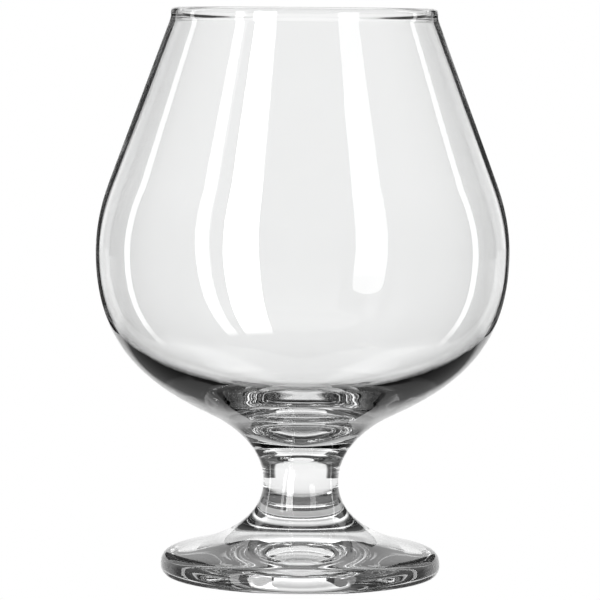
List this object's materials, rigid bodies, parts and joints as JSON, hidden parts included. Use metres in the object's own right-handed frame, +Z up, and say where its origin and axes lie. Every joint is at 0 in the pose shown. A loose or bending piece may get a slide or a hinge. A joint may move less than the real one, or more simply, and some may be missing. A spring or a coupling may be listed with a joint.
{
  "type": "brandy snifter",
  "caption": "Stemmed drinking glass with a wide round bowl that draws in to its mouth, on a short solid waisted stem and a round foot.",
  "frame": {"origin": "centre of the circle that the foot stands on, at table level", "axes": "+Z up along the axis of the glass, out through the mouth; X and Y are alike, as every piece is a body of revolution"},
  "size_m": [0.111, 0.111, 0.1523],
  "materials": {
    "clear_glass": "clear and colourless, fire-polished, smooth all over"
  },
  "bodies": {
    "root": {"bowl": "clear_glass", "stem": "clear_glass", "foot": "clear_glass"}
  },
  "joints": []
}
